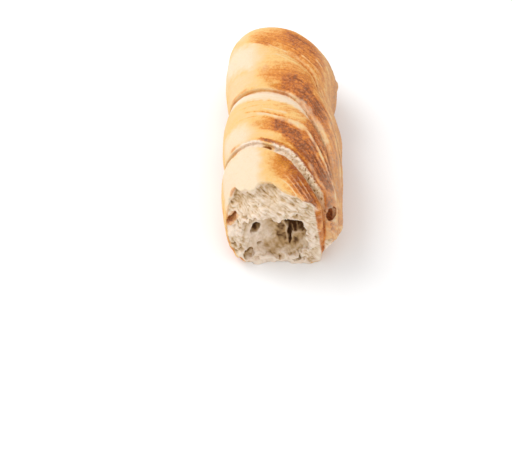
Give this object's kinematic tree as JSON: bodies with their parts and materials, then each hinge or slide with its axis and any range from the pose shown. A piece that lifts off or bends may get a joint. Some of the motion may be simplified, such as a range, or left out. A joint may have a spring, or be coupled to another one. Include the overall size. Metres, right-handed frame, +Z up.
{
  "type": "twisted ciabatta half",
  "caption": "Half of a twisted ciabatta loaf, torn across to show its open crumb, with a rounded baked end and a flat baked base.",
  "frame": {"origin": "under the middle of the loaf, on the surface it lies on", "axes": "+Y along the loaf from its torn end to its round baked end, +X to the right as seen from the torn end, +Z up"},
  "size_m": [0.0814, 0.1912, 0.0625],
  "materials": {
    "bread": "floury golden crust in browned bands, and pale open crumb at the torn end"
  },
  "bodies": {
    "root": {"ciabatta": "bread"}
  },
  "joints": []
}
